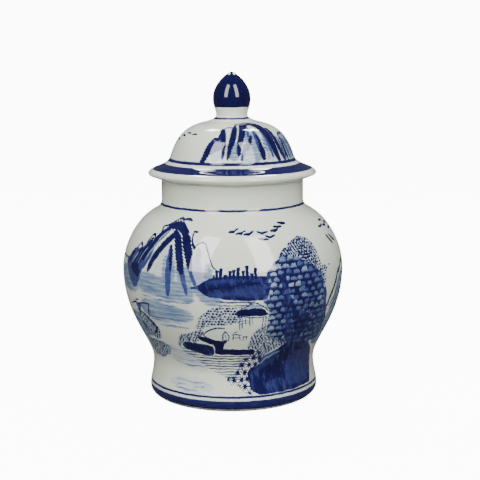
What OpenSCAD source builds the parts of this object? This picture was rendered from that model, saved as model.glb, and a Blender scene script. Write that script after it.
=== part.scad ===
// Covered porcelain jar: a hollow body on a turned foot, a loose domed lid with a
// wide brim and a locating flange, and a hollow bud knob set on the lid's crown.
// Millimetres, +Z up, origin at the centre of the foot, on the surface it stands on.

/* [Body] */
// Height of the body alone, from the foot to the top of the neck
body_h = 203.2; // [170:0.2:250]
// Widest diameter, at the belly
belly_d = 206.4; // [175:0.2:250]
// Height of the widest line
belly_z = 120; // [95:1:130]
// Diameter of the waist above the foot
waist_d = 152; // [126:0.5:170]
// Height of the waist
waist_z = 34; // [28:0.5:42]
// Outside diameter of the neck
neck_d = 132.2; // [110:0.2:150]
// Height of the straight neck above the shoulder
neck_h = 24.4; // [20:0.2:31]
// Height of the blend between neck and shoulder
neck_blend = 5.6; // [3:0.1:8]
// Fall of the shoulder where it leaves the neck, in degrees below level
shoulder_angle = 27; // [18:0.5:34]
// Wall of the body
wall = 6; // [4:0.1:7.5]
// Rounding of the neck's top edge
rim_round = 1.6; // [0.8:0.1:1.9]

/* [Foot] */
// Outside diameter of the foot
foot_d = 158.6; // [132:0.2:170]
// Height of the rounded outer edge at the bottom of the foot
foot_edge_h = 7.8; // [4:0.1:10]
// Width of that edge, measured along the radius
foot_edge_w = 6.2; // [3:0.1:8]
// Width of the flat bare ring that the jar stands on
foot_ring_w = 8; // [5:0.1:12]
// Depth of the recess under the base
foot_recess = 8; // [4:0.1:10]
// Slope of the recess's side, measured along the radius
recess_slope = 4; // [1:0.1:8]
// Thickness of the floor
floor_t = 8; // [5:0.1:10]
// Rounding between the floor and the inside wall
floor_round = 16; // [10:0.5:20]

/* [Lid] */
// Gap between the rim of the neck and the lid's seat
seat_gap = 0.2; // [0.1:0.05:0.5]
// Clearance between the locating flange and the bore of the neck, on the radius
flange_clearance = 1; // [0.5:0.1:2]
// How far the flange reaches down into the neck
flange_depth = 13; // [8:0.5:18]
// Wall of the flange
flange_t = 5; // [3.5:0.1:6]
// Height of the lid from its seat to the crown
lid_h = 52.7; // [44:0.1:64]
// How far the foot of the dome, where the brim starts, lies inside the neck's outside
dome_inset = 8.6; // [5:0.1:11]
// Height of the foot of the dome above the seat
dome_z = 21.1; // [17:0.1:26]
// Wall of the dome
lid_wall = 5.5; // [4:0.1:6.5]
// How far the brim reaches out past the neck
brim_overhang = 12.1; // [8:0.1:16]
// Height of the brim's widest line above the seat
brim_z = 5.8; // [4.8:0.1:7]
// Rounding under the brim's edge
brim_round = 2; // [1:0.1:3]
// Flat of the seat outside the neck
seat_overhang = 0.4; // [0.2:0.1:1]
// Vent hole through the crown, under the knob
vent_d = 5; // [3:0.5:8]

/* [Knob] */
// Height of the knob above the crown
knob_h = 45.5; // [37.5:0.5:54.5]
// Widest diameter of the bud
knob_d = 35; // [29:0.5:42]
// Height of the bud's widest line above the crown
knob_belly_z = 21; // [17.5:0.5:25]
// Diameter of the collar under the bud
collar_d = 29; // [24.5:0.5:34]
// Height of the collar's narrowest line above the crown
collar_z = 5.5; // [4:0.5:7.5]
// Diameter of the knob's foot on the crown
knob_foot_d = 48; // [40:0.5:56]
// Wall of the knob
knob_wall = 4; // [2.5:0.1:5]

/* [Hidden] */

// Segments in one curve of an outline, and around the axis.
CURVE = 10;
BLEND = 5;
ROUND = 180;

// Colours of the glazed white porcelain and of the cobalt knob.
PORCELAIN = [0.80, 0.82, 0.79];
COBALT = [0.08, 0.09, 0.30];

// Shape of the curves, as handle lengths relative to the height or width they span.
LOWER_BODY = [0.22, 0.53];
UPPER_BODY = [0.35, 0.59];
FOOT_CURVE = [0.34, 0.47];
FOOT_EDGE = [0.08, 0.64];
DOME_CURVE = [0.64, 0.13, 0.16, 0.51];
BRIM_CURVE = [0.14, 0.65, 0.09, 0.41];
BUD_TOP = [0.23, 0.56];
BUD_LOW = [0.52, 0.33];

neck_r = neck_d / 2;
bore_r = neck_r - wall;
neck_z = body_h - neck_h;
foot_r = foot_d / 2;
ring_out = foot_r - foot_edge_w;
ring_in = ring_out - foot_ring_w;
floor_z = foot_recess + floor_t;

seat_z = body_h + seat_gap;
crown_z = seat_z + lid_h;
flange_r = bore_r - flange_clearance;
flange_in = flange_r - flange_t;
brim_r = neck_r + brim_overhang;
dome_r = neck_r - dome_inset;
knob_foot_r = knob_foot_d / 2;

// Points of a cubic curve from a to d with handles b and c, n + 1 of them.
function curve(a, b, c, d, n = CURVE) = [
    for (i = [0 : n])
        let (t = i / n, s = 1 - t)
        s * s * s * a + 3 * s * s * t * b + 3 * s * t * t * c + t * t * t * d
];

// Points of an arc about c, from angle a0 to angle a1.
function arc(c, r, a0, a1, n = BLEND) = [
    for (i = [0 : n])
        let (a = a0 + (a1 - a0) * i / n)
        c + r * [cos(a), sin(a)]
];

// A list without its first point, to join curves end to end.
function rest(points) = [for (i = [1 : len(points) - 1]) points[i]];

function backwards(points) = [for (i = [len(points) - 1 : -1 : 0]) points[i]];

// A path moved sideways by d, to the left of the way it runs.
function beside(points, d) = [
    for (i = [0 : len(points) - 1])
        let (
            before = points[max(i - 1, 0)],
            after = points[min(i + 1, len(points) - 1)],
            run = (after - before) / norm(after - before)
        )
        points[i] + d * [-run[1], run[0]]
];

// The waist-to-neck outline of the body's outside, from the bottom up.
belly = [belly_d / 2, belly_z];
waist = [waist_d / 2, waist_z];
shoulder_end = [neck_r + neck_blend, neck_z - neck_blend * tan(shoulder_angle)];
lower_rise = belly_z - waist_z;
upper_rise = neck_z - belly_z;
shoulder_reach = UPPER_BODY[1] * (belly[0] - neck_r);
body_curve = concat(
    curve(waist, waist + [0, LOWER_BODY[0] * lower_rise],
        belly - [0, LOWER_BODY[1] * lower_rise], belly),
    rest(curve(belly, belly + [0, UPPER_BODY[0] * upper_rise],
        shoulder_end + shoulder_reach * [cos(shoulder_angle), -sin(shoulder_angle)], shoulder_end)),
    rest(curve(shoulder_end, shoulder_end + [-neck_blend, neck_blend * tan(shoulder_angle)] * 0.6,
        [neck_r, neck_z + neck_blend * 0.3], [neck_r, neck_z + neck_blend], BLEND))
);

// The foot's outside, from the ring it stands on up to the waist.
foot_max = [foot_r, foot_edge_h];
foot_rise = waist_z - foot_edge_h;
foot_curve = concat(
    curve([ring_out, 0], [ring_out + FOOT_EDGE[0] * foot_edge_w, 0],
        foot_max - [0, FOOT_EDGE[1] * foot_edge_h], foot_max, BLEND),
    rest(curve(foot_max, foot_max + [0, FOOT_CURVE[0] * foot_rise],
        waist - [0, FOOT_CURVE[1] * foot_rise], waist))
);

body_outline = concat(
    [[0, foot_recess], [ring_in - recess_slope, foot_recess], [ring_in, 0]],
    foot_curve,
    rest(body_curve),
    arc([neck_r - rim_round, body_h - rim_round], rim_round, 0, 90),
    arc([bore_r + rim_round, body_h - rim_round], rim_round, 90, 180),
    backwards(beside(body_curve, wall)),
    curve([waist[0] - wall, waist_z - 1], [waist[0] - wall, floor_z + 4],
        [waist[0] - wall - floor_round / 3, floor_z], [waist[0] - wall - floor_round, floor_z], BLEND),
    [[0, floor_z]]
);

// The dome's outside from the crown down to the start of the brim.
crown_edge = [knob_foot_r, crown_z];
dome_foot = [dome_r, seat_z + dome_z];
dome_out = dome_foot[0] - crown_edge[0];
dome_fall = crown_edge[1] - dome_foot[1];
dome_curve = curve(crown_edge, crown_edge + [DOME_CURVE[0] * dome_out, -DOME_CURVE[1] * dome_fall],
    dome_foot + [-DOME_CURVE[2] * dome_out, DOME_CURVE[3] * dome_fall], dome_foot);

// The brim's upper side, out from the dome and over the edge.
brim_edge = [brim_r, seat_z + brim_z];
brim_out = brim_edge[0] - dome_foot[0];
brim_fall = dome_foot[1] - brim_edge[1];
brim_curve = curve(dome_foot, dome_foot + [BRIM_CURVE[0] * brim_out, -BRIM_CURVE[1] * brim_fall],
    brim_edge + [-BRIM_CURVE[2] * brim_out, BRIM_CURVE[3] * brim_fall], brim_edge);

lid_outline = concat(
    [[vent_d / 2, crown_z]],
    dome_curve,
    rest(brim_curve),
    rest(arc(brim_edge - [brim_round, 0], brim_round, 0, -60)),
    [[neck_r + seat_overhang, seat_z], [flange_r, seat_z]],
    arc([flange_r - 1, seat_z - flange_depth + 1], 1, 0, -90, 3),
    arc([flange_in + 1, seat_z - flange_depth + 1], 1, -90, -180, 3),
    [[flange_in, seat_z + dome_z / 3]],
    backwards(beside(dome_curve, -lid_wall)),
    [[vent_d / 2, crown_z - lid_wall]]
);

// The bud's outside from the tip down to its foot on the crown.
tip = [0, crown_z + knob_h];
bud = [knob_d / 2, crown_z + knob_belly_z];
collar = [collar_d / 2, crown_z + collar_z];
bud_rise = tip[1] - bud[1];
bud_fall = bud[1] - collar[1];
bud_curve = concat(
    curve(tip, tip + [BUD_TOP[0] * bud[0], -0.7], bud + [0, BUD_TOP[1] * bud_rise], bud),
    rest(curve(bud, bud - [0, BUD_LOW[0] * bud_fall], collar + [0, BUD_LOW[1] * bud_fall], collar))
);
bud_hollow = beside(bud_curve, -knob_wall);

knob_outline = concat(
    bud_curve,
    rest(curve(collar, collar - [0, 0.4 * collar_z], [knob_foot_r - 3, crown_z + 0.8],
        [knob_foot_r, crown_z], BLEND)),
    [[collar[0] - knob_wall, crown_z]],
    [for (p = backwards(bud_hollow)) if (p[0] > knob_wall / 2) p],
    [[0, tip[1] - knob_wall * 1.25]]
);

module turned(outline) {
    rotate_extrude($fn = ROUND)
        polygon(outline);
}

// Hollow body: foot ring, waist, belly, shoulder and neck in one wall.
module jar_body() {
    color(PORCELAIN)
        turned(body_outline);
}

// Loose lid: domed crown, brim that rests on the neck, and locating flange.
module lid() {
    color(PORCELAIN)
        turned(lid_outline);
}

// Hollow bud, joined to the crown of the lid by its foot.
module knob() {
    color(COBALT)
        turned(knob_outline);
}

jar_body();
lid();
knob();
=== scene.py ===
"""Looks of the covered ginger jar: glazed porcelain painted in underglaze cobalt."""

import logging
import math
from dataclasses import dataclass, replace
from enum import Enum
from typing import Any, Callable, Sequence, Union

import bpy
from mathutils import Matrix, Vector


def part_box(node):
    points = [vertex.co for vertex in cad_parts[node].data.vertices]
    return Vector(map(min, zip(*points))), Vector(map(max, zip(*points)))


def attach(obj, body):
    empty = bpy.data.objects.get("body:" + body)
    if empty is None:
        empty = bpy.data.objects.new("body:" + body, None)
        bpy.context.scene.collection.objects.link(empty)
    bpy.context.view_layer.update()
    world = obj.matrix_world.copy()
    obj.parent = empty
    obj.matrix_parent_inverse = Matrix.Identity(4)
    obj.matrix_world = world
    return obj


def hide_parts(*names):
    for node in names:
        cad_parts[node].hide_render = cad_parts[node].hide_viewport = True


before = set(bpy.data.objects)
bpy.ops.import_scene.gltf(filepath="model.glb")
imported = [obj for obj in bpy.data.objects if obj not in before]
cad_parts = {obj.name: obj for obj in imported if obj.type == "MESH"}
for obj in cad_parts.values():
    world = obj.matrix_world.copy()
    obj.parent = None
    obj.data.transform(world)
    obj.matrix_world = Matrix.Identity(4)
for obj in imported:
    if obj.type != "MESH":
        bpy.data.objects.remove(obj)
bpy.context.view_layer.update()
LOG = logging.getLogger("ginger_jar")
MM = 0.001
Point = tuple[float, float]
Dab = tuple[float, float, float]


# ---------------------------------------------------------------- shader sums


class Val:
    """A number on its way through a shader, so that sums on it are written as Python."""

    def __init__(self, graph: "Graph", socket: Any) -> None:
        """Keeps the socket that carries the number."""
        self.graph = graph
        self.socket = socket

    def __add__(self, other: "Num") -> "Val":
        """self + other."""
        return self.graph.math("ADD", self, other)

    def __radd__(self, other: "Num") -> "Val":
        """other + self."""
        return self.graph.math("ADD", other, self)

    def __sub__(self, other: "Num") -> "Val":
        """self - other."""
        return self.graph.math("SUBTRACT", self, other)

    def __rsub__(self, other: "Num") -> "Val":
        """other - self."""
        return self.graph.math("SUBTRACT", other, self)

    def __mul__(self, other: "Num") -> "Val":
        """self * other."""
        return self.graph.math("MULTIPLY", self, other)

    def __rmul__(self, other: "Num") -> "Val":
        """other * self."""
        return self.graph.math("MULTIPLY", other, self)

    def __truediv__(self, other: "Num") -> "Val":
        """self / other."""
        return self.graph.math("DIVIDE", self, other)

    def __rtruediv__(self, other: "Num") -> "Val":
        """other / self."""
        return self.graph.math("DIVIDE", other, self)

    def __neg__(self) -> "Val":
        """-self."""
        return self.graph.math("MULTIPLY", self, -1.0)

    def __abs__(self) -> "Val":
        """abs(self)."""
        return self.graph.math("ABSOLUTE", self)

    def __and__(self, other: "Num") -> "Val":
        """The smaller of the two: what lies in both masks."""
        return self.graph.math("MINIMUM", self, other)

    def __or__(self, other: "Num") -> "Val":
        """The larger of the two: what lies in either mask."""
        return self.graph.math("MAXIMUM", self, other)

    def floor(self) -> "Val":
        """The whole number below."""
        return self.graph.math("FLOOR", self)

    def fract(self) -> "Val":
        """What is left above the whole number below."""
        return self.graph.math("FRACT", self)

    def sine(self) -> "Val":
        """The sine of self, in radians."""
        return self.graph.math("SINE", self)

    def edge(self, soft: float) -> "Val":
        """A mask of 0 to 1 from a depth in millimetres.

        Args:
            soft: how far the edge fades, in millimetres to either side.

        Returns:
            1 where the depth is above soft, 0 where it is below -soft.
        """
        return self.graph.ramped(self, -soft, soft)


Num = Union[Val, float]


class Graph:
    """A node tree, filled by Python sums and by node()."""

    def __init__(self, tree: Any) -> None:
        """Keeps the tree and empties it."""
        self.tree = tree
        self.tree.nodes.clear()

    @classmethod
    def finish(cls, name: str) -> tuple["Graph", Any]:
        """Starts a material of that name.

        Args:
            name: the material's name.

        Returns:
            Its graph and the material.
        """
        material = bpy.data.materials.new(name)
        material.use_nodes = True
        return cls(material.node_tree), material

    def grouped(self, name: str, values: Sequence["Val"], work: Callable[..., "Val"]) -> "Val":
        """Does a long sum inside a node group of its own.

        Args:
            name: the group's name.
            values: the numbers that go in.
            work: takes the inner graph and the numbers inside it, and returns the result inside.

        Returns:
            The result outside.
        """
        tree = bpy.data.node_groups.new(name, "ShaderNodeTree")
        for index in range(len(values)):
            tree.interface.new_socket(f"in{index}", in_out="INPUT", socket_type="NodeSocketFloat")
        tree.interface.new_socket("out", in_out="OUTPUT", socket_type="NodeSocketFloat")
        inner = Graph(tree)
        entry, leave = tree.nodes.new("NodeGroupInput"), tree.nodes.new("NodeGroupOutput")
        result = work(inner, *(Val(inner, socket) for socket in list(entry.outputs)[:len(values)]))
        tree.links.new(result.socket, leave.inputs[0])
        return self.out(self.node("Group", {"node_tree": tree}, dict(enumerate(values))))

    def node(self, kind: str, settings: dict[str, Any], inputs: dict[Any, Any]) -> Any:
        """Adds one node.

        Args:
            kind: the node's type, without its ShaderNode prefix.
            settings: what is set first; "stops" are a colour ramp's, "curve" a float curve's points.
            inputs: what each input socket holds, as a value or a link.

        Returns:
            The node.
        """
        node = self.tree.nodes.new("ShaderNode" + kind)
        for name, value in settings.items():
            if name == "stops":
                self._set_stops(node.color_ramp, value)
            elif name == "curve":
                self._set_curve(node.mapping, value)
            else:
                setattr(node, name, value)
        for key, value in inputs.items():
            if isinstance(value, Val):
                self.tree.links.new(value.socket, node.inputs[key])
            else:
                node.inputs[key].default_value = value
        return node

    @staticmethod
    def _set_stops(ramp: Any, stops: Sequence[tuple[float, Sequence[float]]]) -> None:
        """Gives a colour ramp its stops of (place, linear colour)."""
        while len(ramp.elements) > 1:
            ramp.elements.remove(ramp.elements[-1])
        for index, (place, colour) in enumerate(stops):
            stop = ramp.elements[0] if index == 0 else ramp.elements.new(place)
            stop.position = place
            stop.color = (*colour, 1.0)

    @staticmethod
    def _set_curve(mapping: Any, points: Sequence[Point]) -> None:
        """Gives a float curve its points, in their own units and level past both ends."""
        mapping.use_clip = False
        mapping.extend = "HORIZONTAL"
        curve = mapping.curves[0]
        for index, place in enumerate(points):
            point = curve.points[index] if index < 2 else curve.points.new(*place)
            point.location = place
            point.handle_type = "AUTO_CLAMPED"
        mapping.update()

    def out(self, node: Any, socket: Any = 0) -> Val:
        """One output of a node as a Val."""
        return Val(self, node.outputs[socket])

    def math(self, operation: str, *values: Num) -> Val:
        """One Math node on the values."""
        return self.out(self.node("Math", {"operation": operation}, dict(enumerate(values))))

    def ramped(self, value: Val, low: float, high: float, smooth: bool = True) -> Val:
        """A mask that rises from 0 at low to 1 at high.

        Args:
            value: what is measured.
            low: where the mask is 0.
            high: where the mask is 1.
            smooth: eased at both ends.

        Returns:
            The mask.
        """
        kind = "SMOOTHSTEP" if smooth else "LINEAR"
        return self.out(self.node("MapRange", {"interpolation_type": kind}, {0: value, 1: low, 2: high}))

    def along(self, value: Val, points: Sequence[Point]) -> Val:
        """A smooth curve through given points, read at value."""
        return self.out(self.node("FloatCurve", {"curve": sorted(points)}, {"Value": value}))

    def vector(self, x: Num, y: Num, z: Num = 0.0) -> Val:
        """Three numbers as one vector."""
        return self.out(self.node("CombineXYZ", {}, {0: x, 1: y, 2: z}))

    def noise(self, at: Val, scale: float, detail: float = 2.0, rough: float = 0.5) -> Val:
        """Soft noise of 0 to 1.

        Args:
            at: where it is read, as a vector.
            scale: how many lumps to one unit.
            detail: how many finer layers.
            rough: how strong the finer layers are.

        Returns:
            The noise.
        """
        inputs = {"Vector": at, "Scale": scale, "Detail": detail, "Roughness": rough}
        return self.out(self.node("TexNoise", {}, inputs), "Fac")

    def noises(self, at: Val, scale: float, detail: float = 2.0) -> tuple[Val, Val, Val]:
        """Three independent noises of 0 to 1, read at the vector at."""
        inputs = {"Vector": at, "Scale": scale, "Detail": detail}
        split = self.node("SeparateXYZ", {}, {0: self.out(self.node("TexNoise", {}, inputs), "Color")})
        return self.out(split, 0), self.out(split, 1), self.out(split, 2)

    def chances(self, x: Val, y: Val) -> tuple[Val, Val, Val]:
        """Three numbers of 0 to 1 drawn for the whole-numbered cell (x, y)."""
        draw = self.node("TexWhiteNoise", {"noise_dimensions": "2D"}, {"Vector": self.vector(x, y)})
        split = self.node("SeparateXYZ", {}, {0: self.out(draw, "Color")})
        return self.out(split, 0), self.out(split, 1), self.out(split, 2)

    def blend(self, factor: Num, first: Any, second: Any) -> Val:
        """first where factor is 0, second where it is 1, as colours."""
        node = self.node("Mix", {"data_type": "RGBA"}, {0: factor, 6: first, 7: second})
        return self.out(node, 2)

    def towards(self, value: Val, target: Num, factor: Val) -> Val:
        """value moved towards target by factor."""
        node = self.node("Mix", {"data_type": "FLOAT"}, {0: factor, 2: value, 3: target})
        return self.out(node, 0)


# ---------------------------------------------------------------- brushwork


@dataclass(frozen=True)
class Stroke:
    """One brush stroke: dabs of (degrees round the jar, height in mm, half width in mm).

    The dabs run one way round or one way up. Where upright isn't given, the longer run decides.
    """

    dabs: tuple[Dab, ...]
    upright: bool | None = None

    def moved(self, round_by: float, up_by: float, flip: bool, grow: float) -> "Stroke":
        """A copy of the stroke in another place.

        Args:
            round_by: how far it moves round, in degrees.
            up_by: how far it moves up, in mm.
            flip: mirrored left to right first.
            grow: its size against the first, about the height of 120 mm.

        Returns:
            The new stroke.
        """
        side = -grow if flip else grow
        dabs = tuple((a * side + round_by, (h - 120) * grow + 120 + up_by, w * grow) for a, h, w in self.dabs)
        return replace(self, dabs=dabs)


def line(half: float, *points: Point) -> Stroke:
    """A thin line of one half width, a little finer at both ends."""
    last = len(points) - 1
    return Stroke(tuple((a, h, half * (0.6 if i in (0, last) else 1.0)) for i, (a, h) in enumerate(points)))


def field(*rows: Dab, upright: bool = False) -> Stroke:
    """A filled area.

    Args:
        rows: (place along, low bound, high bound), with bounds in mm up, or in degrees if upright.
        upright: the rows are heights and their bounds are degrees round.

    Returns:
        The area as one very wide stroke.
    """
    if upright:
        return Stroke(tuple(((lo + hi) / 2, h, (hi - lo) / 2 * -Canvas.MM_PER_DEG) for h, lo, hi in rows), True)
    return Stroke(tuple((a, (lo + hi) / 2, -(hi - lo) / 2) for a, lo, hi in rows), False)


class Canvas:
    """A painted face of a piece: where a point lies on it, and what the brush has left there."""

    MM_PER_DEG = 1.75

    def __init__(self, graph: Graph, across: Val, up: Val, scale: Num, grain: Val, steps: float = 1.75) -> None:
        """Sets up the face.

        Args:
            graph: the finish it belongs to.
            across: degrees round the axis.
            up: millimetres up the face.
            scale: millimetres to one degree at that point.
            grain: fine noise of -0.5 to 0.5 that roughens every edge.
            steps: a fair average of scale, for the slope of a stroke.
        """
        self.graph = graph
        self.across = across
        self.up = up
        self.scale = scale
        self.grain = grain
        self.steps = steps

    def depth(self, stroke: Stroke, reach: float) -> Val:
        """How far inside a stroke a point lies.

        Args:
            stroke: the stroke.
            reach: how far outside it the depth must still be right, in mm.

        Returns:
            The depth in mm, below 0 outside.
        """
        dabs = stroke.dabs
        run = abs(dabs[-1][0] - dabs[0][0]) * self.steps
        rise = abs(dabs[-1][1] - dabs[0][1])
        upright = rise > run if stroke.upright is None else stroke.upright
        rate = 1.0 if upright else self.steps
        places = sorted((h, a * self.steps, w) if upright else (a * self.steps, h, w) for a, h, w in dabs)
        centre, half = [], []
        for index, (place, side, width) in enumerate(places):
            before, after = places[max(index - 1, 0)], places[min(index + 1, len(places) - 1)]
            slope = (after[1] - before[1]) / max(after[0] - before[0], 0.4)
            stretch = min(math.hypot(1.0, slope), 4.0)
            centre.append((place / rate, side / (self.steps if upright else 1.0)))
            half.append((place / rate, -width if width < 0 else width * stretch))
        end = (0.3 + reach) / rate
        half = [(half[0][0] - end, -reach - 0.6), *half, (half[-1][0] + end, -reach - 0.6)]
        at, side = (self.up, self.across) if upright else (self.across, self.up)
        away = abs(side - self.graph.along(at, centre))
        return self.graph.along(at, half) - (away * self.scale if upright else away)

    def union(self, strokes: Sequence[Stroke], reach: float) -> Val:
        """The depth inside the nearest of several strokes.

        Args:
            strokes: the strokes.
            reach: how far outside them the depth must still be right, in mm.

        Returns:
            The depth in mm, below 0 outside.
        """
        def nearest(inner: Graph, across: Val, up: Val, scale: Val) -> Val:
            """Works the union out inside its group."""
            canvas = Canvas(inner, across, up, scale, up, self.steps)
            depths = [canvas.depth(stroke, reach) for stroke in strokes]
            best = depths[0]
            for depth in depths[1:]:
                best = best | depth
            return best

        return self.graph.grouped("strokes", (self.across, self.up, self.scale), nearest)

    def cells(self, wide: float, high: float, jitter: float = 0.0) -> tuple[Val, Val, Val, Val]:
        """Splits the face into staggered cells.

        Args:
            wide: a cell's width in mm.
            high: a cell's height in mm.
            jitter: how far a cell's own centre wanders, as a part of its size.

        Returns:
            Millimetres right and up from the centre of the point's cell, and two chances of 0 to 1.
        """
        rows = self.up / high
        row = rows.floor()
        columns = self.across * (self.steps / wide) + row * 0.5 + (row * 0.37).sine() * 0.3
        first, second, third = self.graph.chances(columns.floor(), row)
        x = (columns.fract() - 0.5) * wide - (first - 0.5) * (jitter * wide)
        y = (rows.fract() - 0.5) * high - (second - 0.5) * (jitter * high)
        return x, y, first, third


# ---------------------------------------------------------------- what is painted


class Mark(Enum):
    """The kinds of brush mark on the jar; the last seven fill an area with a pattern."""

    FAINT = "faint wash"
    WASH = "wash"
    LILAC = "lilac wash"
    MID = "half-strength stroke"
    FEATHERED = "dark stroke with feathered edges"
    DEEP = "dark stroke"
    BARE = "light left between strokes"
    ROCK = "rock face"
    GLINT = "lighter patch in a dark fill"
    RIPPLES = "water lines"
    DOTS = "dotted foliage"
    LEAVES = "leafy scrub"
    STARS = "spiky plants"
    UMBRELLAS = "pine clusters"
    STUBS = "trees on the far shore"


Motif = dict[Mark, tuple[Stroke, ...]]


def moved(motif: Motif, round_by: float, up_by: float = 0.0, flip: bool = False, grow: float = 1.0) -> Motif:
    """A motif painted again in another place.

    Args:
        motif: what is repeated.
        round_by: how far it moves round, in degrees.
        up_by: how far it moves up, in mm.
        flip: mirrored left to right.
        grow: its size against the first.

    Returns:
        The new motif.
    """
    return {mark: tuple(s.moved(round_by, up_by, flip, grow) for s in strokes) for mark, strokes in motif.items()}


def bird(a: float, h: float, span: float = 2.9, left: float = 0.3, right: float = 0.8) -> Stroke:
    """A far bird as one bent dab.

    Args:
        a: its place round the jar, in degrees.
        h: its height, in mm.
        span: half its width, in degrees.
        left: how far its left wing tip is raised, in mm.
        right: how far its right wing tip is raised, in mm.

    Returns:
        The stroke.
    """
    return Stroke((
        (a - span, h + left, 0.45), (a - span * 0.45, h + left * 0.3 + 0.1, 0.85), (a, h - 0.1, 1.0),
        (a + span * 0.4, h + right * 0.5, 0.85), (a + span, h + right, 0.4),
    ), False)


MAIN_PEAK: Motif = {
    Mark.MID: (
        field((-70, 129, 136), (-66, 121, 137), (-62, 113, 138), (-58, 111, 137), (-55, 117, 136), (-53, 124, 133)),
        field((-62, 131, 146), (-57, 128, 146), (-53, 128, 152), (-50, 132, 154), (-47, 140, 156)),
        Stroke(((-34.6, 151, 0.8), (-33.6, 142, 2.8), (-33.2, 130, 3.6), (-33.2, 120, 3.4), (-33.4, 110, 1.6))),
        Stroke(((-27, 138, 2.8), (-25, 128, 2.9), (-23.6, 120, 2.4), (-22.8, 112, 1.0))),
        Stroke(((-22.2, 146, 1.2), (-21.2, 137, 2.2), (-19.8, 128, 2.2), (-17.6, 120, 1.0))),
        line(0.9, (-82, 136), (-74, 135.5), (-66, 133.5)),
    ),
    Mark.FEATHERED: (
        Stroke(((-52.5, 138, 1.4), (-50, 144, 3.0), (-47.5, 151, 3.3), (-44.5, 159, 3.3), (-40.5, 166.5, 2.4))),
        Stroke(((-43, 164, 1.8), (-39.5, 168, 2.8), (-35.5, 169, 3.2), (-32, 168, 3.0), (-29.5, 165.5, 2.4))),
        Stroke(((-31, 169, 1.6), (-27.6, 163, 3.0), (-25.2, 156, 3.7), (-23.4, 149, 3.6), (-22.4, 142, 2.6),
            (-21.8, 135, 0.8))),
        Stroke(((-47, 129, 1.0), (-45.6, 136, 2.3), (-43, 144, 2.9), (-40, 151.5, 3.0), (-37, 158, 3.0),
            (-34, 163, 2.4))),
        Stroke(((-34.8, 165, 1.4), (-32, 160, 2.8), (-29.6, 152.5, 3.3), (-28, 145, 3.5), (-26.8, 138, 3.2),
            (-25.6, 131, 1.6))),
        Stroke(((-34.6, 153, 0.7), (-33.3, 147, 1.9), (-32.6, 140, 1.6), (-32, 133, 0.6))),
        Stroke(((-67.5, 131, 1.6), (-65.5, 137, 2.6), (-63.2, 144, 1.5))),
        Stroke(((-56.2, 148, 1.0), (-58.5, 141, 2.2), (-61, 133, 2.2))),
        Stroke(((-49.8, 157, 0.9), (-51.8, 149, 2.4), (-54.2, 141, 2.8), (-57.5, 132, 2.4))),
        field((-63, 127, 133), (-60, 124, 134), (-57, 122, 133), (-55, 122, 130)),
    ),
    Mark.DEEP: (
        line(0.95, (-46.5, 167), (-43, 168.5), (-39.5, 172.5), (-36.5, 174.8), (-34, 173.6), (-31, 174.4),
            (-27, 173)),
        line(1.6, (-46.4, 166.6), (-45.3, 163.5)), line(1.3, (-37.4, 174), (-34.8, 174.4)),
        line(1.1, (-32.6, 174.6), (-29, 173.4)),
        line(0.9, (-53.4, 148), (-52.8, 154), (-51.4, 158.6)), line(1.0, (-52, 158), (-50, 160), (-48, 157.4),
            (-46.4, 154)),
        line(0.9, (-60.8, 144), (-60, 149), (-58.4, 151.6)), line(1.0, (-59, 151.5), (-57.2, 149.6), (-55, 146)),
        line(0.8, (-66.8, 137), (-65.2, 142), (-63, 144.5)), line(0.8, (-63.4, 144.6), (-61.8, 141.5)),
        line(0.65, (-22.8, 165.5), (-22.5, 160), (-21.3, 155), (-20, 151)), line(1.5, (-22.8, 165.2), (-20.4, 164.8)),
        line(1.1, (-21.2, 156), (-20, 152)), line(0.65, (-20.2, 151.8), (-18.6, 155.4), (-16, 157.2), (-13.8, 155.6)),
        line(0.6, (-14, 155.6), (-12.8, 151), (-11.6, 146), (-10.6, 141.5), (-9, 137), (-6.5, 133)),
    ),
    Mark.LILAC: (
        field((124, -20, -13.5), (134, -20.3, -14.5), (143, -19.8, -16), (151, -19, -16.5), upright=True),
    ),
    Mark.WASH: (
        field((-80, 108, 124), (-72, 108, 130), (-62, 106, 120), (-55, 110, 122)),
        field((-55, 112, 124), (-48, 108, 128), (-38, 106, 126), (-24, 106, 122)),
        field((122, -37, -29), (133, -37.5, -29), (143, -37, -31), upright=True),
        field((108, -26, -19), (122, -28, -19), (133, -29, -20), upright=True),
        field((122, -15, -8), (129, -14.5, -9), (138, -13.5, -11), upright=True),
    ),
    Mark.FAINT: (
        field((118, -46, -35), (130, -44, -34.5), (142, -41, -34.5), (150, -39, -35.5), upright=True),
    ),
    Mark.BARE: (
        Stroke(((-47.2, 146, 0.5), (-45.2, 153, 0.9), (-42.4, 160.5, 0.9), (-38.8, 165.6, 0.5))),
        Stroke(((-62.4, 133, 0.4), (-60.4, 138, 0.8), (-58.4, 142.5, 0.5))),
        Stroke(((-50.4, 138, 0.4), (-48.4, 144, 0.8), (-46.6, 149.5, 0.5))),
        Stroke(((-56.6, 134, 0.3), (-53.4, 142, 0.6), (-51.2, 149, 0.4))),
    ),
}

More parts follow.
